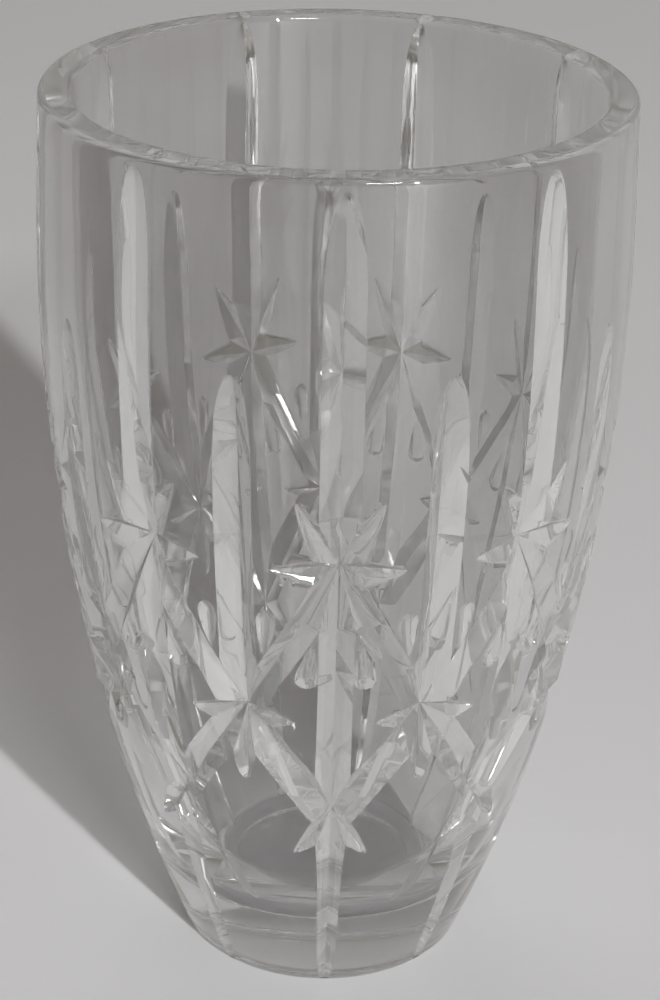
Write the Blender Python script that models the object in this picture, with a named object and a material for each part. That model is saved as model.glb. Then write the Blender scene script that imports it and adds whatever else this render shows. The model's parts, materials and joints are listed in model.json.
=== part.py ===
"""Cut crystal vase: one lump of glass, turned hollow, then cut with a pattern that repeats nine times.

Run with: blender --background --python part.py
Metres, +Z up, origin at the middle of the foot. One main column of cuts faces -Y.
"""

import math

import bmesh
import bpy
import numpy as np
from mathutils import Vector
from mathutils.geometry import interpolate_bezier

# Driving dimensions of the glass body
HEIGHT = 0.229
FOOT_RADIUS = 0.0382
BELLY_RADIUS = 0.07135
BELLY_HEIGHT = 0.183
RIM_RADIUS = 0.0700
LIP_WIDTH = 0.0075
LIP_ROUNDING = 0.0016
FOOT_CHAMFER = 0.0008

# Underside: a flat ring to stand on, and a shallow recess inside it
RING_WIDTH = 0.0080
RECESS_SLOPE_WIDTH = 0.0010
RECESS_EDGE_DEPTH = 0.0006
RECESS_DEPTH = 0.0015

# Inside of the vase
INNER_BELLY_RADIUS = 0.0630
CORNER_RADIUS = 0.0400
CORNER_HEIGHT = 0.042
FLOOR_RADIUS = 0.022
FLOOR_HEIGHT = 0.020

# Handles of the profile's curves, and one point of the inner neck, as (radius, height)
FOOT_HANDLE = (0.0426, 0.012)
LOWER_BELLY_HANDLE = (BELLY_RADIUS, 0.083)
UPPER_BELLY_HANDLE = (BELLY_RADIUS, 0.198)
RIM_HANDLE = (0.0704, 0.216)
INNER_NECK = (0.0628, 0.205)
INNER_BELLY_HANDLE = (INNER_BELLY_RADIUS, 0.135)
UPPER_CORNER_HANDLE = (0.0515, 0.078)
LOWER_CORNER_HANDLE = (0.0345, 0.029)
FLOOR_HANDLE = (0.0300, FLOOR_HEIGHT)

# How finely the round shapes are divided
ROUND_STEPS = 72
FLARE_POINTS = 13
NECK_POINTS = 5
INNER_WALL_POINTS = 9
CORNER_POINTS = 4
WALL_TABLE_POINTS = 60
SLOPE_REACH = 0.004
WELD_DISTANCE = 1e-6

# The pattern: nine sectors, each with a main column and a half-way column before the next one
SECTORS = 9
SECTOR_ANGLE = 360 / SECTORS
MAIN = 0.0
HALF_WAY = SECTOR_ANGLE / 2
HIGH_STAR = 0.1366
MIDDLE_STAR = 0.0951
LOW_STAR = 0.0630

# At a star the lances go deepest, then the bands, then the petals, so that no two keels end in one point
LANCE_STAR_DEPTH = 0.0047
BAND_STAR_DEPTH = 0.0046
PETAL_STAR_DEPTH = 0.0045
# A lance runs on this far past its star, and rises as it goes
OVERRUN = 0.0015
OVERRUN_DEPTH = 0.0028
# A petal's depth falls away from its star as this power of the way still to go
PETAL_FALL = 0.78
PETAL_STEPS = (0.0, 0.3, 0.6, 0.85, 1.0)
# A band is shallower between its stars, and that stretch starts this part of the way along it
BAND_SHOULDER = 0.25
# Half way along, a band lies this many degrees nearer its main column than a straight line would
UPPER_BAND_BOW = 0.5
LOWER_BAND_BOW = 0.2

# Half width of each kind of cut for one unit of its depth
MITRE_SPREAD = 1.10
DROP_SPREAD = 1.50

# The keel of each upright cut away from its stars, as (height, depth)
UPPER_LANCE = ((0.200, 0.0047), (0.2142, 0.0042), (0.2215, 0.0029), (0.2262, 0.0))
MIDDLE_LANCE = ((0.120, 0.0042), (0.085, 0.0042))
FOOT_LANCE = ((0.050, 0.0034), (0.020, 0.0026), (0.006, 0.0019), (0.0016, 0.0))
HALF_WAY_LANCE = ((0.112, 0.0045), (0.160, 0.0045), (0.173, 0.0040), (0.1798, 0.0027), (0.184, 0.0))
TONGUE = ((0.087, 0.0031), (0.079, 0.0024), (0.0742, 0.0))
INNER_DROP = ((0.1164, 0.0), (0.1090, 0.0019), (0.1058, 0.0017), (0.1041, 0.0))
OUTER_DROP = ((0.1130, 0.0), (0.1205, 0.0016), (0.1238, 0.0014), (0.1253, 0.0))
INNER_DROP_AZIMUTH = 6.05
OUTER_DROP_AZIMUTH = 13.9

# The depth of each band between its stars, and the tip of each petal as (azimuth, height)
UPPER_BAND_DEPTH = 0.0035
LOWER_BAND_DEPTH = 0.0045
HIGH_PETAL_TIP = (8.2, 0.1545)
SIDE_PETAL_TIP = (13.0, 0.1366)
MIDDLE_PETAL_TIP = (8.6, 0.0936)
LOW_PETAL_TIP = (9.3, 0.0507)

# A cutter stands this far out of the wall, so that its back never lies on the glass
CUTTER_MARGIN = 0.0016

CRYSTAL_COLOR = (0.80, 0.82, 0.83, 0.35)
CRYSTAL_ROUGHNESS = 0.03
CRYSTAL_IOR = 1.55


def bezier(start, first_handle, second_handle, end, points):
    """Points along one curve of the profile, as (radius, height)."""
    knots = [Vector((*point, 0.0)) for point in (start, first_handle, second_handle, end)]
    return [(p.x, p.y) for p in interpolate_bezier(*knots, points)]


def outer_wall(flare_points, neck_points):
    """The outside of the wall, from the foot's chamfer up to the lip."""
    foot = (FOOT_RADIUS, FOOT_CHAMFER)
    belly = (BELLY_RADIUS, BELLY_HEIGHT)
    rim = (RIM_RADIUS, HEIGHT - LIP_ROUNDING)
    flare = bezier(foot, FOOT_HANDLE, LOWER_BELLY_HANDLE, belly, flare_points)
    return flare + bezier(belly, UPPER_BELLY_HANDLE, RIM_HANDLE, rim, neck_points)[1:]


def inner_wall():
    """The inside, from the lip down the wall and round the corner to the middle of the floor."""
    belly = (INNER_BELLY_RADIUS, BELLY_HEIGHT)
    corner = (CORNER_RADIUS, CORNER_HEIGHT)
    neck = [(RIM_RADIUS - LIP_WIDTH, HEIGHT - LIP_ROUNDING), INNER_NECK]
    wall = bezier(belly, INNER_BELLY_HANDLE, UPPER_CORNER_HANDLE, corner, INNER_WALL_POINTS)
    turn = bezier(corner, LOWER_CORNER_HANDLE, FLOOR_HANDLE, (FLOOR_RADIUS, FLOOR_HEIGHT), CORNER_POINTS)
    return neck + wall + turn[1:] + [(0.0, FLOOR_HEIGHT)]


def underside():
    """The recess and the flat ring, from the middle outwards."""
    ring_outer = FOOT_RADIUS - FOOT_CHAMFER
    ring_inner = ring_outer - RING_WIDTH
    return [(0.0, RECESS_DEPTH), (ring_inner - RECESS_SLOPE_WIDTH, RECESS_EDGE_DEPTH),
            (ring_inner, 0.0), (ring_outer, 0.0)]


def lip():
    """The rounded edges and flat top of the lip, from the outside in."""
    corner = LIP_ROUNDING * (1 - math.sqrt(0.5))
    inner = RIM_RADIUS - LIP_WIDTH
    return [(RIM_RADIUS - corner, HEIGHT - corner), (RIM_RADIUS - LIP_ROUNDING, HEIGHT),
            (inner + LIP_ROUNDING, HEIGHT), (inner + corner, HEIGHT - corner)]


WALL_RADII, WALL_HEIGHTS = np.array(outer_wall(WALL_TABLE_POINTS, WALL_TABLE_POINTS)).T


def facing(azimuth, height):
    """The direction that the uncut wall faces, from its slope over a short reach up and down."""
    angle = math.radians(azimuth - 90)
    below, above = np.interp([height - SLOPE_REACH, height + SLOPE_REACH], WALL_HEIGHTS, WALL_RADII)
    slope = float(below - above) / (2 * SLOPE_REACH)
    return Vector((math.cos(angle), math.sin(angle), slope)).normalized()


def on_wall(azimuth, height, outwards=0.0):
    """A point at an azimuth in degrees from -Y, this far out from the uncut wall."""
    angle = math.radians(azimuth - 90)
    radius = float(np.interp(height, WALL_HEIGHTS, WALL_RADII)) + outwards
    return Vector((radius * math.cos(angle), radius * math.sin(angle), height))


def add_object(name, bm, collection):
    """Turns a bmesh into an object of a collection."""
    mesh = bpy.data.meshes.new(name)
    bm.to_mesh(mesh)
    bm.free()
    obj = bpy.data.objects.new(name, mesh)
    collection.objects.link(obj)
    return obj


def glass_blank():
    """The vase before it is cut: its profile spun round the axis."""
    bm = bmesh.new()
    profile = underside() + outer_wall(FLARE_POINTS, NECK_POINTS) + lip() + inner_wall()
    verts = [bm.verts.new((radius, 0.0, height)) for radius, height in profile]
    edges = [bm.edges.new(pair) for pair in zip(verts, verts[1:])]
    bmesh.ops.spin(bm, geom=verts + edges, axis=(0, 0, 1), cent=(0, 0, 0), angle=math.tau,
                   steps=ROUND_STEPS, use_merge=True)
    bmesh.ops.remove_doubles(bm, verts=bm.verts, dist=WELD_DISTANCE)
    bmesh.ops.recalc_face_normals(bm, faces=bm.faces)
    for face in bm.faces:
        face.smooth = True
    return add_object("glass_vase", bm, bpy.context.scene.collection)


def v_section(stations, index, spread):
    """One triangle across a cut: its keel in the glass, then its two upper corners outside."""
    azimuth, height, depth = stations[index]
    before = stations[max(index - 1, 0)]
    after = stations[min(index + 1, len(stations) - 1)]
    keel = on_wall(azimuth, height, -depth)
    out = facing(azimuth, height)
    across = (on_wall(*after[:2]) - on_wall(*before[:2])).cross(out).normalized()
    rise = depth + CUTTER_MARGIN
    return [keel, keel + (out + across * spread) * rise, keel + (out - across * spread) * rise]


def v_cutter(name, stations, spread, wheels):
    """A V-shaped cutter through stations of (azimuth, height, depth), repeated once for each sector."""
    bm = bmesh.new()
    front = bm.faces.new([bm.verts.new(corner) for corner in v_section(stations, 0, spread)])
    for index in range(1, len(stations)):
        grown = bmesh.ops.extrude_face_region(bm, geom=[front])
        if index > 1:
            bmesh.ops.delete(bm, geom=[front], context="FACES_ONLY")
        front = next(item for item in grown["geom"] if isinstance(item, bmesh.types.BMFace))
        for loop, corner in zip(front.loops, v_section(stations, index, spread)):
            loop.vert.co = corner
    bmesh.ops.spin(bm, geom=bm.verts[:] + bm.edges[:] + bm.faces[:], axis=(0, 0, 1), cent=(0, 0, 0),
                   angle=math.radians(SECTOR_ANGLE) * (SECTORS - 1), steps=SECTORS - 1, use_duplicate=True)
    bmesh.ops.recalc_face_normals(bm, faces=bm.faces)
    cutter = add_object(name, bm, wheels)
    cutter.hide_render = True
    cutter.display_type = "WIRE"


def mirrored_cutters(name, stations, spread, wheels):
    """The same cut on each side of its main column."""
    mirrored = [(-azimuth, height, depth) for azimuth, height, depth in stations]
    v_cutter(name + "_right", stations, spread, wheels)
    v_cutter(name + "_left", mirrored, spread, wheels)


def upright(azimuth, *runs):
    """Stations along one azimuth, from runs of (height, depth)."""
    return [(azimuth, height, depth) for run in runs for height, depth in run]


def leaving(star, way):
    """How an upright cut starts at its star, as (height, depth). way is 1 upwards and -1 downwards."""
    return [(star - way * OVERRUN, OVERRUN_DEPTH), (star, LANCE_STAR_DEPTH)]


def between(start, end, part):
    """The (azimuth, height) that lies this part of the way from start to end."""
    return tuple(a + (b - a) * part for a, b in zip(start, end))


def petal(star, tip):
    """Stations of a petal, deepest at its star and running out at its tip."""
    return [(*between(star, tip, part), PETAL_STAR_DEPTH * (1 - part) ** PETAL_FALL) for part in PETAL_STEPS]


def band(start, end, depth, bow):
    """Stations of a band that joins two stars, bowed towards its main column."""
    steps = ((0.0, BAND_STAR_DEPTH), (BAND_SHOULDER, depth), (0.5, depth),
             (1 - BAND_SHOULDER, depth), (1.0, BAND_STAR_DEPTH))
    stations = []
    for part, at in steps:
        azimuth, height = between(start, end, part)
        stations.append((azimuth - bow * 4 * part * (1 - part), height, at))
    return stations


def lance_cutters(wheels):
    """The upright cuts of the main and half-way columns."""
    lances = {
        "upper_lance": upright(MAIN, leaving(HIGH_STAR, 1), UPPER_LANCE),
        "middle_lance": upright(MAIN, leaving(HIGH_STAR, -1), MIDDLE_LANCE, leaving(LOW_STAR, 1)[::-1]),
        "foot_lance": upright(MAIN, leaving(LOW_STAR, -1), FOOT_LANCE),
        "half_way_lance": upright(HALF_WAY, leaving(MIDDLE_STAR, 1), HALF_WAY_LANCE),
        "tongue": upright(HALF_WAY, leaving(MIDDLE_STAR, -1), TONGUE),
    }
    for name, stations in lances.items():
        v_cutter(name, stations, MITRE_SPREAD, wheels)


def star_cutters(wheels):
    """The slanting bands that join the stars, and the petals round each star."""
    high = (MAIN, HIGH_STAR)
    middle = (HALF_WAY, MIDDLE_STAR)
    low = (MAIN, LOW_STAR)
    mirrored_cutters("upper_band", band(high, middle, UPPER_BAND_DEPTH, UPPER_BAND_BOW), MITRE_SPREAD, wheels)
    mirrored_cutters("lower_band", band(middle, low, LOWER_BAND_DEPTH, LOWER_BAND_BOW), MITRE_SPREAD, wheels)
    mirrored_cutters("high_petal", petal(high, HIGH_PETAL_TIP), MITRE_SPREAD, wheels)
    mirrored_cutters("side_petal", petal(high, SIDE_PETAL_TIP), MITRE_SPREAD, wheels)
    mirrored_cutters("middle_petal", petal(middle, MIDDLE_PETAL_TIP), MITRE_SPREAD, wheels)
    mirrored_cutters("low_petal", petal(low, LOW_PETAL_TIP), MITRE_SPREAD, wheels)


def drop_cutters(wheels):
    """The teardrops beside the middle lance and under the side petals."""
    mirrored_cutters("inner_drop", upright(INNER_DROP_AZIMUTH, INNER_DROP), DROP_SPREAD, wheels)
    mirrored_cutters("outer_drop", upright(OUTER_DROP_AZIMUTH, OUTER_DROP), DROP_SPREAD, wheels)


def crystal():
    """Clear polished crystal."""
    material = bpy.data.materials.new("crystal")
    material.use_nodes = True
    shader = material.node_tree.nodes["Principled BSDF"]
    shader.inputs["Base Color"].default_value = CRYSTAL_COLOR
    shader.inputs["Roughness"].default_value = CRYSTAL_ROUGHNESS
    shader.inputs["Metallic"].default_value = 0.0
    shader.inputs["IOR"].default_value = CRYSTAL_IOR
    shader.inputs["Transmission Weight"].default_value = 1.0
    return material


def main():
    """Clears the scene, then turns the blank and makes every cut in it."""
    for obj in list(bpy.data.objects):
        bpy.data.objects.remove(obj, do_unlink=True)
    vase = glass_blank()
    vase.data.materials.append(crystal())
    wheels = bpy.data.collections.new("cutting_wheels")
    wheels.hide_render = True
    bpy.context.scene.collection.children.link(wheels)
    lance_cutters(wheels)
    star_cutters(wheels)
    drop_cutters(wheels)
    cuts = vase.modifiers.new("cuts", "BOOLEAN")
    cuts.operation = "DIFFERENCE"
    cuts.solver = "EXACT"
    cuts.operand_type = "COLLECTION"
    cuts.collection = wheels


main()
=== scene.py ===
"""Cut crystal vase: the fine glass body, its finish, and the studio it stands in.

Metres and degrees, +Z up, origin at the middle of the foot. Azimuth 0 is the main column of cuts, which
faces -Y, and azimuths grow towards +X. The pattern has nine equal sectors, and each sector is symmetrical
about its main column, so only half a sector is cut. It is mirrored and spun to make the whole vase.
"""

from __future__ import annotations

import json
import logging
import math
from dataclasses import dataclass, field
from enum import Enum
from typing import Any, Union

import bmesh
import bpy
import numpy as np
from mathutils import Matrix, Vector
from mathutils.geometry import interpolate_bezier

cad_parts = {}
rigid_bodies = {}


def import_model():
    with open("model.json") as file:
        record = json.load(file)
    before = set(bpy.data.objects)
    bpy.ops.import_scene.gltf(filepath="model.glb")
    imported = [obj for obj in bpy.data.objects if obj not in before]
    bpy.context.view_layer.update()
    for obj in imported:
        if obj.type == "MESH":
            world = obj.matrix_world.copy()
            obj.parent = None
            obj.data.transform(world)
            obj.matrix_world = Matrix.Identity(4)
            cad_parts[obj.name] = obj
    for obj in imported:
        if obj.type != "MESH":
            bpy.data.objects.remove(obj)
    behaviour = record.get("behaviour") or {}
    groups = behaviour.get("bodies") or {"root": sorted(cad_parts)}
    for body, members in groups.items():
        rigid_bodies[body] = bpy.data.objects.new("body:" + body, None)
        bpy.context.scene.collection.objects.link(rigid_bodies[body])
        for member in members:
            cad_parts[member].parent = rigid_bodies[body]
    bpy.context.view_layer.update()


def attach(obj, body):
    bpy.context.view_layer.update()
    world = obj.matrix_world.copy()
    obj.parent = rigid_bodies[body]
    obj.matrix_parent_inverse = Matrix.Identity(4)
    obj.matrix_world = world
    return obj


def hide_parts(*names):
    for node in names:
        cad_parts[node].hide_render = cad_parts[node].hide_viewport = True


LOG = logging.getLogger("crystal_vase")

Point = tuple[float, float]
Station = tuple[float, float, float]
Color = tuple[float, float, float, float]
Value = Union[float, tuple[float, ...], "Socket"]

WELD_DISTANCE = 2e-6
GROUND_LAYER = "ground"
LIGHT_BOUNCES = 48


# ---------------------------------------------------------------- shader nodes


class Socket:
    """A shader socket that adds Math nodes when it is used in an expression."""

    def __init__(self, tree: NodeTree, link: bpy.types.NodeSocket | None) -> None:
        """Keeps the node tree and the output socket that this value comes from."""
        self.tree = tree
        self.link = link

    def _math(self, operation: str, first: Value, second: Value) -> Socket:
        """Adds one Math node."""
        return self.tree.add("ShaderNodeMath", {"operation": operation}, {0: first, 1: second})

    def __add__(self, other: Value) -> Socket:
        """Adds a value on the right."""
        return self._math("ADD", self, other)

    def __radd__(self, other: Value) -> Socket:
        """Adds a value on the left."""
        return self._math("ADD", other, self)

    def __mul__(self, other: Value) -> Socket:
        """Multiplies by a value on the right."""
        return self._math("MULTIPLY", self, other)

    def __rmul__(self, other: Value) -> Socket:
        """Multiplies by a value on the left."""
        return self._math("MULTIPLY", other, self)


class NodeTree:
    """Builds the shader nodes of one material or world."""

    def __init__(self, tree: bpy.types.NodeTree) -> None:
        """Clears the tree, so that every node in it is one of ours."""
        self.tree = tree
        tree.nodes.clear()

    def add(self, kind: str, settings: dict[str, Any] | None = None,
            inputs: dict[str | int, Value] | None = None, output: str | int = 0) -> Socket:
        """Adds one node.

        Args:
            kind: the node's type.
            settings: its properties, set before its sockets.
            inputs: a value or a link for each input socket, by name or index.
            output: the output socket that the node is read through.

        Returns:
            The chosen output socket, or one with no link for a node that has no outputs.
        """
        node = self.tree.nodes.new(kind)
        for name, value in (settings or {}).items():
            setattr(node, name, value)
        for name, value in (inputs or {}).items():
            socket = node.inputs[name]
            if isinstance(value, Socket):
                self.tree.links.new(value.link, socket)
            else:
                socket.default_value = value
        return Socket(self, node.outputs[output] if len(node.outputs) else None)

    def noise(self, scale: float, detail: float,
              stretch: tuple[float, float, float] = (1.0, 1.0, 1.0)) -> Socket:
        """Noise on Object coordinates.

        Args:
            scale: features for each metre.
            detail: octaves.
            stretch: how much finer the noise is along each axis.

        Returns:
            The noise, from 0 to 1.
        """
        place = self.add("ShaderNodeTexCoord", output="Object")
        mapped = self.add("ShaderNodeMapping", None, {"Vector": place, "Scale": stretch})
        return self.add("ShaderNodeTexNoise", None, {"Vector": mapped, "Scale": scale, "Detail": detail})

    def mask(self, value: Socket, low: float, high: float) -> Socket:
        """Eases a value from 0 at low to 1 at high."""
        return self.add("ShaderNodeMapRange", {"interpolation_type": "SMOOTHSTEP"},
                        {"Value": value, "From Min": low, "From Max": high})

    def blend(self, factor: Value, first: Value, second: Value) -> Socket:
        """Mixes two colours."""
        return self.add("ShaderNodeMix", {"data_type": "RGBA"}, {0: factor, 6: first, 7: second}, 2)


@dataclass(frozen=True)
class CutCrystal:
    """Clear crystal: a bright blown surface, faintly rippled, and cuts with a softer satin gloss.

    gloss is the roughness of the bare surface. Smudges from handling and the satin of the wheels add to it.
    bloom is how much of a cut face is a fine pale haze instead of clear glass.
    """

    # The body colours are the glass's own faint tint, darkened further as painted shade for the shadow seen
    # through the walls. The plain walls take more of this painted shade than the cut faces.
    clear: Color = (0.80, 0.795, 0.79, 1.0)
    darker_tint_and_shade: Color = (0.70, 0.69, 0.68, 1.0)
    ground_color: Color = (0.78, 0.78, 0.775, 1.0)
    ior: float = 1.54
    transmission: float = 1.0
    gloss: float = 0.006
    smudge: float = 0.03
    satin: float = 0.008
    bloom: float = 0.08
    bloom_color: Color = (0.80, 0.80, 0.79, 1.0)
    bloom_roughness: float = 0.45
    ripple_height: float = 0.00008

    def material(self) -> bpy.types.Material:
        """Builds the material.

        Returns:
            The material, with its nodes.
        """
        material = bpy.data.materials.new("cut_crystal")
        material.use_nodes = True
        tree = NodeTree(material.node_tree)
        ground = tree.add("ShaderNodeAttribute", {"attribute_name": GROUND_LAYER}, output="Fac")
        cloud = tree.mask(tree.noise(14.0, 3.0), 0.40, 0.72)
        smears = tree.mask(tree.noise(55.0, 4.0, (1.0, 1.0, 0.35)), 0.52, 0.78)
        specks = tree.mask(tree.noise(900.0, 1.0), 0.70, 0.80)
        wheel_marks = tree.noise(420.0, 3.0, (1.0, 1.0, 0.06))
        # Painted shade: the plain glass darkens in random clouds towards the darker colour, standing in for
        # the shadow seen through it.
        tint_and_painted_shade = tree.blend(cloud, self.clear, self.darker_tint_and_shade)
        handled = self.smudge * (0.25 * cloud + 0.45 * smears + 0.6 * specks)
        roughness = self.gloss + handled + self.satin * ground * (0.7 + 0.6 * wheel_marks)
        ripple = tree.noise(38.0, 2.0, (1.0, 1.0, 0.4))
        normal = tree.add("ShaderNodeBump", None, {
            "Strength": 1.0,
            "Distance": self.ripple_height,
            "Height": ripple,
        })
        glass = tree.add("ShaderNodeBsdfPrincipled", None, {
            # Plain glass takes the tint with painted shade, and the cut faces take their own, less shaded
            # colour.
            "Base Color": tree.blend(ground, tint_and_painted_shade, self.ground_color),
            "Roughness": roughness,
            "Normal": normal,
            "IOR": self.ior,
            "Transmission Weight": self.transmission,
            "Metallic": 0.0,
        })
        haze = tree.add("ShaderNodeBsdfPrincipled", None, {
            "Base Color": self.bloom_color,
            "Roughness": self.bloom_roughness,
            "Normal": normal,
        })
        hazy = self.bloom * ground * (0.9 + 0.2 * smears)
        mixed = tree.add("ShaderNodeMixShader", None, {0: hazy, 1: glass, 2: haze})
        tree.add("ShaderNodeOutputMaterial", None, {"Surface": mixed})
        return material


@dataclass(frozen=True)
class PaleFloor:
    """A plain pale painted surface."""

    light: Color = (0.555, 0.555, 0.565, 1.0)
    dark: Color = (0.505, 0.505, 0.515, 1.0)
    roughness: float = 0.65

    def material(self) -> bpy.types.Material:
        """Builds the material.

        Returns:
            The material, with its nodes.
        """
        material = bpy.data.materials.new("pale_floor")
        material.use_nodes = True
        tree = NodeTree(material.node_tree)
        color = tree.blend(tree.noise(3.0, 4.0), self.light, self.dark)
        paint = tree.add("ShaderNodeBsdfPrincipled", None, {"Base Color": color, "Roughness": self.roughness})
        tree.add("ShaderNodeOutputMaterial", None, {"Surface": paint})
        return material


# ---------------------------------------------------------------- the glass


def curve(start: Point, first_handle: Point, second_handle: Point, end: Point,
          points: int) -> list[Point]:
    """Points along one Bezier curve of the profile, as (radius, height)."""
    knots = [Vector((*point, 0.0)) for point in (start, first_handle, second_handle, end)]
    return [(p.x, p.y) for p in interpolate_bezier(*knots, points)]


def object_from(name: str, bm: bmesh.types.BMesh) -> bpy.types.Object:
    """Turns a bmesh into an object of the scene, and frees it.

    Args:
        name: what the object and its mesh are called.
        bm: the mesh.

    Returns:
        The object, unturned, at the origin.
    """
    mesh = bpy.data.meshes.new(name)
    bm.to_mesh(mesh)
    bm.free()
    obj = bpy.data.objects.new(name, mesh)
    bpy.context.scene.collection.objects.link(obj)
    return obj


@dataclass
class VaseProfile:
    """The vase's half section, turned round the axis."""

    height: float = 0.229
    foot_radius: float = 0.0382
    foot_rounding: float = 0.0008
    belly: Point = (0.07135, 0.183)
    rim_radius: float = 0.0700
    lip_width: float = 0.0075
    lip_rounding: float = 0.0016
    ring_width: float = 0.0080
    recess_depth: float = 0.0015
    inner_belly: Point = (0.0630, 0.183)
    corner: Point = (0.0400, 0.042)
    floor_edge: Point = (0.022, 0.020)
    rounding_points: int = 6
    radii: np.ndarray = field(init=False)
    heights: np.ndarray = field(init=False)

    def __post_init__(self) -> None:
        """Keeps the uncut wall as a table of radius by height."""
        self.radii, self.heights = np.array(self.outer_wall(120, 40)).T

    def outer_wall(self, flare_points: int = 84, neck_points: int = 22) -> list[Point]:
        """The outside, from the foot's rounding up to the lip.

        Args:
            flare_points: points from the foot to the belly.
            neck_points: points from the belly to the lip.

        Returns:
            The points, as (radius, height).
        """
        foot = (self.foot_radius, self.foot_rounding)
        rim = (self.rim_radius, self.height - self.lip_rounding)
        flare = curve(foot, (0.0426, 0.012), (self.belly[0], 0.083), self.belly, flare_points)
        neck = curve(self.belly, (self.belly[0], 0.198), (0.0704, 0.216), rim, neck_points)
        return flare + neck[1:]

    def rounding(self, center: Point, radius: float, start: float, end: float) -> list[Point]:
        """Points round a quarter circle of the section, from one angle in degrees to another."""
        angles = np.radians(np.linspace(start, end, self.rounding_points))
        return [(center[0] + radius * math.cos(a), center[1] + radius * math.sin(a)) for a in angles]

    def lip(self) -> list[Point]:
        """The two roundings of the flat-topped lip, from the outside in.

        Returns:
            The points, as (radius, height).
        """
        center_height = self.height - self.lip_rounding
        outer = (self.rim_radius - self.lip_rounding, center_height)
        inner = (self.rim_radius - self.lip_width + self.lip_rounding, center_height)
        return (self.rounding(outer, self.lip_rounding, 0, 90)[1:]
                + self.rounding(inner, self.lip_rounding, 90, 180)[:-1])

    def inside(self) -> list[Point]:
        """The inner wall down from the lip, the corner, and the floor to its middle.

        Returns:
            The points, as (radius, height).
        """
        top = (self.rim_radius - self.lip_width, self.height - self.lip_rounding)
        neck = curve(top, (top[0] + 0.0002, 0.214), (self.inner_belly[0], 0.197), self.inner_belly, 14)
        wall = curve(self.inner_belly, (self.inner_belly[0], 0.135), (0.0515, 0.078), self.corner, 48)
        turn = curve(self.corner, (0.0345, 0.029), (0.030, self.floor_edge[1]), self.floor_edge, 14)
        floor = [(self.floor_edge[0] * part, self.floor_edge[1]) for part in (0.66, 0.33, 0.0)]
        return neck + wall[1:] + turn[1:] + floor

    def underside(self) -> list[Point]:
        """The shallow recess and the ring it stands on, from the middle out to the foot's rounding.

        Returns:
            The points, as (radius, height).
        """
        ring_outer = self.foot_radius - self.foot_rounding
        ring_inner = ring_outer - self.ring_width
        recess = curve((0.0, self.recess_depth), (ring_inner * 0.6, self.recess_depth),
                       (ring_inner - 0.003, 0.0009), (ring_inner, 0.0), 10)
        foot = self.rounding((ring_outer, self.foot_rounding), self.foot_rounding, -90, 0)
        return recess + foot[:-1]

    def section(self) -> list[Point]:
        """The whole half section, from the middle of the underside round to the middle of the floor."""
        return self.underside() + self.outer_wall() + self.lip() + self.inside()

    def place(self, azimuth: float, height: float, outwards: float = 0.0) -> Vector:
        """A point on the uncut wall, or beside it.

        Args:
            azimuth: the angle round the vase.
            height: the height above the foot.
            outwards: how far out from the wall.

        Returns:
            The point.
        """
        angle = math.radians(azimuth - 90)
        radius = float(np.interp(height, self.heights, self.radii)) + outwards
        return Vector((radius * math.cos(angle), radius * math.sin(angle), height))

    def facing(self, azimuth: float, height: float, reach: float = 0.004) -> Vector:
        """The direction that the uncut wall faces.

        Args:
            azimuth: the angle round the vase.
            height: the height above the foot.
            reach: how far up and down the wall's slope is measured.

        Returns:
            The direction, of length 1.
        """
        angle = math.radians(azimuth - 90)
        below, above = np.interp([height - reach, height + reach], self.heights, self.radii)
        return Vector((math.cos(angle), math.sin(angle), float(below - above) / (2 * reach))).normalized()


class Wheel(Enum):
    """The shape of the wheel that grinds a cut."""

    MITRE = "mitre"
    OLIVE = "olive"


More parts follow.
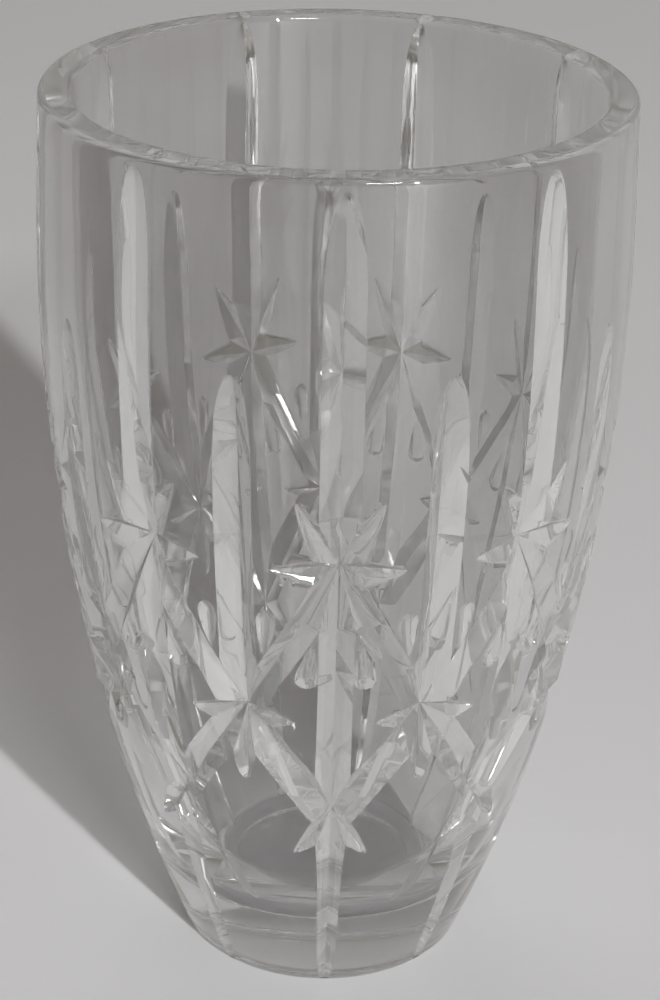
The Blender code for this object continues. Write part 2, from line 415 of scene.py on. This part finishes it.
@dataclass
class Cut:
    """One ground cut: a wheel's path along the wall.

    Stations are (azimuth, height, depth). A cut that ends at a star runs on a little way past it, inside the
    next cut. lift is the length over which the wheel comes out of the glass at the far end. spread is half a
    mitre's width for each metre of depth, or an olive wheel's radius of curvature times two.
    """

    name: str
    wheel: Wheel
    stations: list[Station]
    spread: float
    overrun_start: bool = False
    overrun_end: bool = False
    lift: float = 0.0
    spacing: float = 0.0025
    lift_steps: int = 10
    overrun: float = 0.0015
    overrun_depth: float = 0.6
    margin: float = 0.0012
    edge_depth: float = 0.00022
    edge_spread: float = 2.4
    olive_sides: int = 12

    def eased(self, profile: VaseProfile) -> list[Station]:
        """Stations close together, with the depth eased between the given ones.

        Args:
            profile: the uncut wall that the cut follows.

        Returns:
            The stations, from the start to the end.
        """
        azimuth, height, depth = np.array(self.stations).T
        steps = [(profile.place(*b[:2]) - profile.place(*a[:2])).length
                 for a, b in zip(self.stations, self.stations[1:])]
        along = np.concatenate([[0.0], np.cumsum(steps)])
        slope = np.gradient(depth, along)
        steady = along[-1] - self.lift
        at = np.linspace(0.0, steady, max(4, round(steady / self.spacing) + 1))
        rise = np.ones_like(at)
        if self.lift:
            turn = np.linspace(math.pi / 2, 0.0, self.lift_steps + 1)[1:]
            at = np.append(at, along[-1] - self.lift * (1 - np.cos(turn)))
            rise = np.append(rise, np.sin(turn))
        index = np.clip(np.searchsorted(along, at, side="right") - 1, 0, len(along) - 2)
        span = along[index + 1] - along[index]
        t = (at - along[index]) / span
        eased = ((2 * t ** 3 - 3 * t ** 2 + 1) * depth[index]
                 + (t ** 3 - 2 * t ** 2 + t) * span * slope[index]
                 + (3 * t ** 2 - 2 * t ** 3) * depth[index + 1]
                 + (t ** 3 - t ** 2) * span * slope[index + 1])
        eased = np.maximum(eased * rise, 0.0)
        rows = list(zip(np.interp(at, along, azimuth), np.interp(at, along, height), eased))
        if self.overrun_start:
            rows.insert(0, self._beyond(rows[0], rows[1]))
        if self.overrun_end:
            rows.append(self._beyond(rows[-1], rows[-2]))
        return [tuple(float(value) for value in row) for row in rows]

    def _beyond(self, end: Station, inner: Station) -> Station:
        """The station a little way past an end, where the wheel has begun to lift.

        Args:
            end: the last station.
            inner: the station before it.

        Returns:
            The extra station.
        """
        rise = end[1] - inner[1]
        part = self.overrun / abs(rise) if rise else 0.0
        return (end[0] + (end[0] - inner[0]) * part, end[1] + rise * part, end[2] * self.overrun_depth)

    def corners(self, depth: float) -> list[Point]:
        """The wheel's section where it cuts this deep.

        Args:
            depth: the depth of the keel under the uncut wall.

        Returns:
            Points as (across, outwards) from the uncut wall. A mitre's start at the keel.
        """
        if self.wheel is Wheel.OLIVE:
            curl = 1 / self.spread
            half = math.sqrt((depth + self.margin) / curl)
            sides = [half * side for side in np.linspace(-1.0, 1.0, self.olive_sides + 1)]
            return [(across, curl * across ** 2 - depth) for across in sides]
        edge = min(self.edge_depth, depth * 0.45)
        waist = self.spread * (depth - edge)
        top = waist + self.edge_spread * (edge + self.margin)
        return [(0.0, -depth), (waist, -edge), (top, self.margin), (-top, self.margin), (-waist, -edge)]

    def cutter(self, profile: VaseProfile) -> bpy.types.Object:
        """The solid that the wheel sweeps out.

        Args:
            profile: the uncut wall that the cut follows.

        Returns:
            A closed object for a Boolean.
        """
        stations = self.eased(profile)
        bm = bmesh.new()
        front = None
        for index, (azimuth, height, depth) in enumerate(stations):
            before = stations[max(index - 1, 0)]
            after = stations[min(index + 1, len(stations) - 1)]
            keel = profile.place(azimuth, height, -depth)
            out = profile.facing(azimuth, height)
            forwards = profile.place(*after[:2]) - profile.place(*before[:2])
            across = forwards.cross(out).normalized()
            places = [keel + across * side + out * (depth + rise) for side, rise in self.corners(depth)]
            if front is None:
                front = bm.faces.new([bm.verts.new(place) for place in places])
                continue
            grown = bmesh.ops.extrude_face_region(bm, geom=[front])
            if index > 1:
                bmesh.ops.delete(bm, geom=[front], context="FACES_ONLY")
            front = next(item for item in grown["geom"] if isinstance(item, bmesh.types.BMFace))
            for loop, place in zip(front.loops, places):
                loop.vert.co = place
        bmesh.ops.recalc_face_normals(bm, faces=bm.faces)
        return object_from(self.name, bm)


@dataclass(frozen=True)
class Star:
    """A point where cuts meet, and how deep they are there."""

    azimuth: float
    height: float
    depth: float


@dataclass
class CutPattern:
    """Every cut of half a sector, from its main column at azimuth 0 to the half-way column.

    Bands and petals are a little shallower at a star than the lances, so that no two keels coincide.
    petal_fall is the power by which a petal's depth falls towards its tip.
    """

    half_way: float = 20.0
    high: Star = Star(0.0, 0.1366, 0.0047)
    middle: Star = Star(20.0, 0.0951, 0.0049)
    low: Star = Star(0.0, 0.0630, 0.0045)
    band_lift: float = 0.0001
    petal_lift: float = 0.0002
    petal_fall: float = 0.78
    lance_lift: float = 0.023
    tongue_lift: float = 0.009
    mitre_spread: float = 1.05

    def lance(self, name: str, star: Star, keel: list[Point], far_star: Star | None = None,
              lift: float = 0.0) -> Cut:
        """One upright cut.

        Args:
            name: what the cut is called.
            star: the star that it starts at.
            keel: the (height, depth) of its other stations.
            far_star: the star that it ends at, if it ends at one.
            lift: the length over which the wheel comes out.

        Returns:
            The cut.
        """
        rows = [(star.height, star.depth), *keel]
        if far_star:
            rows.append((far_star.height, far_star.depth))
        stations = [(star.azimuth, height, depth) for height, depth in rows]
        return Cut(name, Wheel.MITRE, stations, self.mitre_spread, overrun_start=True,
                   overrun_end=far_star is not None, lift=lift)

    def lances(self) -> list[Cut]:
        """The long upright cuts.

        Returns:
            The cuts, from the rim down and then along the half-way column.
        """
        upper = [(0.160, 0.0047), (0.190, 0.0047), (0.2262, 0.0045)]
        foot = [(0.050, 0.0034), (0.020, 0.0026), (0.006, 0.0021), (0.0006, 0.0013)]
        half_way = [(0.112, 0.0045), (0.140, 0.0045), (0.184, 0.0044)]
        return [
            self.lance("upper_lance", self.high, upper, lift=self.lance_lift),
            self.lance("middle_lance", self.high, [(0.120, 0.0042), (0.085, 0.0042)], self.low),
            self.lance("foot_lance", self.low, foot),
            self.lance("half_way_lance", self.middle, half_way, lift=self.lance_lift),
            self.lance("tongue", self.middle, [(0.087, 0.0032), (0.0742, 0.0024)], lift=self.tongue_lift),
        ]

    def band(self, name: str, start: Star, end: Star, depth: float, bow: float) -> Cut:
        """One slanting cut from star to star.

        Args:
            name: what the cut is called.
            start: the star that it starts at.
            end: the star that it ends at.
            depth: its depth between them.
            bow: how many degrees its middle lies off the straight line.

        Returns:
            The cut.
        """
        depths = (start.depth - self.band_lift, depth, depth, depth, end.depth - self.band_lift)
        stations = []
        for part, deep in zip((0.0, 0.25, 0.5, 0.75, 1.0), depths):
            azimuth, height = self.between(start, (end.azimuth, end.height), part)
            stations.append((azimuth - bow * 4 * part * (1 - part), height, deep))
        return Cut(name, Wheel.MITRE, stations, self.mitre_spread)

    def bands(self) -> list[Cut]:
        """The slanting cuts that join the stars."""
        return [self.band("upper_band", self.high, self.middle, 0.0035, 0.5),
                self.band("lower_band", self.middle, self.low, 0.0046, 0.2)]

    def petal(self, name: str, star: Star, tip: Point) -> Cut:
        """One short leaf.

        Args:
            name: what the cut is called.
            star: the star that it grows from.
            tip: the (azimuth, height) where it ends.

        Returns:
            The cut.
        """
        stations = []
        for part in (0.0, 0.15, 0.3, 0.45, 0.6, 0.75, 0.87, 0.95, 1.0):
            depth = (star.depth - self.petal_lift) * (1 - part) ** self.petal_fall
            stations.append((*self.between(star, tip, part), depth))
        return Cut(name, Wheel.MITRE, stations, self.mitre_spread, spacing=0.0012)

    def petals(self) -> list[Cut]:
        """The short leaves round each star."""
        return [self.petal("high_petal", self.high, (8.2, 0.1545)),
                self.petal("side_petal", self.high, (13.0, 0.1366)),
                self.petal("middle_petal", self.middle, (8.6, 0.0936)),
                self.petal("low_petal", self.low, (9.3, 0.0507))]

    def drops(self) -> list[Cut]:
        """The smooth scooped drops between the lances and bands.

        Returns:
            The two cuts, the one by the main column first.
        """
        inner = [(4.9, 0.1168, 0.0), (5.3, 0.1125, 0.0006), (5.8, 0.1085, 0.0018), (6.0, 0.1060, 0.0019),
                 (6.1, 0.1041, 0.0)]
        outer = [(14.6, 0.1126, 0.0), (14.3, 0.1160, 0.0005), (14.0, 0.1200, 0.0014), (13.9, 0.1235, 0.0015),
                 (13.9, 0.1253, 0.0)]
        return [Cut("inner_drop", Wheel.OLIVE, inner, 0.0040, spacing=0.001),
                Cut("outer_drop", Wheel.OLIVE, outer, 0.0034, spacing=0.001)]

    @staticmethod
    def between(star: Star, end: Point, part: float) -> Point:
        """The (azimuth, height) that lies this part of the way from a star to a point."""
        return (star.azimuth + (end[0] - star.azimuth) * part, star.height + (end[1] - star.height) * part)

    def cuts(self) -> list[Cut]:
        """Every cut of half a sector."""
        return self.lances() + self.bands() + self.petals() + self.drops()


@dataclass
class CrystalVase:
    """The whole vase as one piece of glass."""

    profile: VaseProfile = field(default_factory=VaseProfile)
    pattern: CutPattern = field(default_factory=CutPattern)
    finish: CutCrystal = field(default_factory=CutCrystal)
    sectors: int = 9
    spare_angle: float = 3.0
    steps: int = 20
    sharp_angle: float = 24.0
    ground_depth: float = 0.00004

    def blank(self) -> bpy.types.Object:
        """A closed wedge of uncut glass, a little wider than half a sector on each side.

        Returns:
            The wedge.
        """
        bm = bmesh.new()
        start = math.radians(-90 - self.spare_angle)
        ring = [bm.verts.new((radius * math.cos(start), radius * math.sin(start), height))
                for radius, height in self.profile.section()]
        side = bm.faces.new(ring)
        bmesh.ops.spin(bm, geom=[side], axis=(0, 0, 1), cent=(0, 0, 0),
                       angle=math.radians(self.pattern.half_way + 2 * self.spare_angle), steps=self.steps)
        bmesh.ops.remove_doubles(bm, verts=bm.verts, dist=WELD_DISTANCE)
        bmesh.ops.recalc_face_normals(bm, faces=bm.faces)
        return object_from("half_sector", bm)

    def cut_wedge(self) -> bmesh.types.BMesh:
        """The wedge after every cut.

        Returns:
            The cut wedge, as a bmesh.
        """
        wedge = self.blank()
        wheels = bpy.data.collections.new("wheels")
        bpy.context.scene.collection.children.link(wheels)
        for cut in self.pattern.cuts():
            cutter = cut.cutter(self.profile)
            bpy.context.scene.collection.objects.unlink(cutter)
            wheels.objects.link(cutter)
            LOG.info("cutter %s: %d faces", cutter.name, len(cutter.data.polygons))
        grinding = wedge.modifiers.new("grinding", "BOOLEAN")
        grinding.operation = "DIFFERENCE"
        grinding.solver = "EXACT"
        grinding.operand_type = "COLLECTION"
        grinding.collection = wheels
        graph = bpy.context.evaluated_depsgraph_get()
        bm = bmesh.new()
        bm.from_mesh(wedge.evaluated_get(graph).to_mesh())
        for obj in [*wheels.objects, wedge]:
            bpy.data.objects.remove(obj, do_unlink=True)
        bpy.data.collections.remove(wheels)
        return bm

    def trim(self, bm: bmesh.types.BMesh, azimuth: float, side: int) -> None:
        """Cuts the wedge off at the upright plane of one azimuth.

        Args:
            bm: the wedge.
            azimuth: where the plane stands.
            side: 1 to remove what lies past it, or -1 to remove what lies before it.
        """
        angle = math.radians(azimuth - 90)
        normal = Vector((-math.sin(angle), math.cos(angle), 0.0)) * side
        bmesh.ops.bisect_plane(bm, geom=bm.verts[:] + bm.edges[:] + bm.faces[:], dist=WELD_DISTANCE,
                               plane_co=(0, 0, 0), plane_no=normal, clear_outer=True)

    def build(self) -> bpy.types.Object:
        """Makes the vase.

        Returns:
            The finished object, with its material.
        """
        bm = self.cut_wedge()
        self.trim(bm, self.pattern.half_way, 1)
        self.trim(bm, 0.0, -1)
        bmesh.ops.delete(bm, geom=[edge for edge in bm.edges if not edge.link_faces], context="EDGES")
        bmesh.ops.mirror(bm, geom=bm.verts[:] + bm.edges[:] + bm.faces[:], matrix=Matrix.Identity(4),
                         merge_dist=WELD_DISTANCE, axis="X")
        turn = 2 * math.radians(self.pattern.half_way)
        bmesh.ops.spin(bm, geom=bm.verts[:] + bm.edges[:] + bm.faces[:], axis=(0, 0, 1), cent=(0, 0, 0),
                       angle=turn * (self.sectors - 1), steps=self.sectors - 1, use_duplicate=True)
        bmesh.ops.remove_doubles(bm, verts=bm.verts, dist=WELD_DISTANCE)
        bmesh.ops.recalc_face_normals(bm, faces=bm.faces)
        self.shade(bm)
        self.mark_ground(bm)
        open_edges = sum(1 for edge in bm.edges if len(edge.link_faces) != 2)
        LOG.info("glass: %d faces, %d edges that don't join two faces", len(bm.faces), open_edges)
        obj = object_from("cut_crystal_vase", bm)
        obj.data.materials.append(self.finish.material())
        return obj

    def shade(self, bm: bmesh.types.BMesh) -> None:
        """Shades the glass smooth, apart from the keels and edges of the cuts.

        Args:
            bm: the whole vase.
        """
        limit = math.radians(self.sharp_angle)
        for face in bm.faces:
            face.smooth = True
        for edge in bm.edges:
            edge.smooth = len(edge.link_faces) == 2 and edge.calc_face_angle() < limit

    def mark_ground(self, bm: bmesh.types.BMesh) -> None:
        """Marks the faces that a wheel has ground: those that lie under the uncut outer wall.

        Args:
            bm: the whole vase.
        """
        layer = bm.faces.layers.float.new(GROUND_LAYER)
        lowest, highest = self.profile.heights[0], self.profile.heights[-1]
        for face in bm.faces:
            center = face.calc_center_median()
            radius = math.hypot(center.x, center.y)
            wall = float(np.interp(center.z, self.profile.heights, self.profile.radii))
            outside = face.normal.x * center.x + face.normal.y * center.y > 0
            face[layer] = float(outside and lowest < center.z < highest and radius < wall - self.ground_depth)


# ---------------------------------------------------------------- the studio


@dataclass
class Softbox:
    """One rectangular light, aimed at the vase. in_glass says whether reflections and the glass show it."""

    name: str
    place: tuple[float, float, float]
    size: tuple[float, float]
    power: float
    aim: tuple[float, float, float] = (0.0, 0.0, 0.11)
    in_glass: bool = True

    def build(self) -> bpy.types.Object:
        """Adds the light.

        Returns:
            The light.
        """
        data = bpy.data.lights.new(self.name, "AREA")
        data.shape = "RECTANGLE"
        data.size, data.size_y = self.size
        data.energy = self.power
        light = bpy.data.objects.new(self.name, data)
        light.location = self.place
        towards = Vector(self.aim) - light.location
        light.rotation_euler = towards.to_track_quat("-Z", "Y").to_euler()
        light.visible_glossy = self.in_glass
        light.visible_transmission = self.in_glass
        bpy.context.scene.collection.objects.link(light)
        return light


@dataclass
class Studio:
    """A pale floor, soft lights and the dim room round them.

    The glass shows the room's horizon and zenith, and the floor is lit by the warmer fill. through_glass is
    the part of the key light that the glass lets through.
    """

    floor_radius: float = 9.0
    horizon: Color = (0.20, 0.18, 0.155, 1.0)
    zenith: Color = (0.42, 0.42, 0.42, 1.0)
    fill: Color = (0.085, 0.062, 0.045, 1.0)
    key_place: tuple[float, float, float] = (2.55, -4.95, 1.90)
    key_aim: tuple[float, float, float] = (0.0, 0.45, 0.0)
    key_power: float = 2250.0
    key_radius: float = 0.10
    key_angle: float = 40.0
    key_blend: float = 0.9
    through_glass: float = 0.13

    def floor(self) -> bpy.types.Object:
        """The floor that the vase stands on.

        Returns:
            The floor.
        """
        bm = bmesh.new()
        bmesh.ops.create_circle(bm, cap_ends=True, segments=96, radius=self.floor_radius)
        floor = object_from("floor", bm)
        floor.data.materials.append(PaleFloor().material())
        return floor

    def room(self) -> None:
        """The room: pale in the glass, and a dimmer warm fill on the floor."""
        world = bpy.data.worlds.new("room")
        bpy.context.scene.world = world
        world.use_nodes = True
        tree = NodeTree(world.node_tree)
        direction = tree.add("ShaderNodeTexCoord", output="Generated")
        upwards = tree.add("ShaderNodeSeparateXYZ", None, {0: direction}, "Z")
        color = tree.blend(tree.mask(upwards, 0.0, 0.9), self.horizon, self.zenith)
        on_floor = tree.add("ShaderNodeLightPath", output="Is Diffuse Ray")
        color = tree.blend(on_floor, color, self.fill)
        background = tree.add("ShaderNodeBackground", None, {"Color": color, "Strength": 1.0})
        tree.add("ShaderNodeOutputWorld", None, {"Surface": background})

    def lights(self, vase: bpy.types.Object) -> None:
        """Adds the lights: one overhead, one for sparkle on the edges, and the key light in two parts.

        Args:
            vase: the glass, which one part of the key light passes.
        """
        Softbox("overhead", (-0.2, 1.6, 2.0), (1.8, 1.8), 12.0, in_glass=False).build()
        Softbox("sparkle", (0.45, -1.6, 1.15), (0.40, 0.14), 14.0).build()
        self.key("key", self.key_power * (1 - self.through_glass))
        through = self.key("key_through_glass", self.key_power * self.through_glass)
        clear = bpy.data.collections.new("lets_light_through")
        clear.objects.link(vase)
        through.light_linking.blocker_collection = clear
        clear.collection_objects[0].light_linking.link_state = "EXCLUDE"

    def key(self, name: str, power: float) -> bpy.types.Object:
        """A small round light to the right, which makes a wide pool of light round the vase.

        Args:
            name: what the light is called.
            power: its power in watts.

        Returns:
            The light.
        """
        data = bpy.data.lights.new(name, "SPOT")
        data.energy = power
        data.shadow_soft_size = self.key_radius
        data.spot_size = math.radians(self.key_angle)
        data.spot_blend = self.key_blend
        light = bpy.data.objects.new(name, data)
        light.location = self.key_place
        towards = Vector(self.key_aim) - light.location
        light.rotation_euler = towards.to_track_quat("-Z", "Y").to_euler()
        bpy.context.scene.collection.objects.link(light)
        return light

    def build(self, vase: bpy.types.Object) -> None:
        """Adds everything.

        Args:
            vase: the glass, for the lights.
        """
        self.floor()
        self.room()
        self.lights(vase)


@dataclass
class ViewCamera:
    """The camera, by where it stands round the vase and how it is turned."""

    azimuth: float = -1.95
    distance: float = 0.5339
    height: float = 0.3834
    aim_height: float = 0.1209
    roll: float = 1.24
    lens: float = 84.6

    def build(self) -> bpy.types.Object:
        """Adds the camera and makes it the scene's.

        Returns:
            The camera.
        """
        angle = math.radians(self.azimuth - 90)
        data = bpy.data.cameras.new("camera")
        data.lens = self.lens
        data.sensor_width = 36.0
        data.clip_start = 0.01
        camera = bpy.data.objects.new("camera", data)
        camera.location = (self.distance * math.cos(angle), self.distance * math.sin(angle), self.height)
        aim = Vector((0.0, 0.0, self.aim_height)) - camera.location
        level = aim.to_track_quat("-Z", "Y").to_matrix()
        camera.rotation_euler = (level @ Matrix.Rotation(math.radians(self.roll), 3, "Z")).to_euler()
        bpy.context.scene.collection.objects.link(camera)
        bpy.context.scene.camera = camera
        return camera


def set_light_paths(scene: bpy.types.Scene) -> None:
    """Lets light bounce inside the cuts until it leaves them, and keeps the tones plain."""
    scene.view_settings.view_transform = "Standard"
    for limit in ("max_bounces", "transmission_bounces", "glossy_bounces"):
        setattr(scene.cycles, limit, LIGHT_BOUNCES)


def main() -> None:
    """Builds the camera, the vase and the studio, and notes the sizes."""
    logging.basicConfig(level=logging.INFO, format="%(name)s: %(message)s")
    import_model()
    set_light_paths(bpy.context.scene)
    ViewCamera().build()
    vase = CrystalVase().build()
    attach(vase, "root")
    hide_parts("glass_vase")
    LOG.info("vase: %d vertices", len(vase.data.vertices))
    Studio().build(vase)


if __name__ == "__main__":
    main()
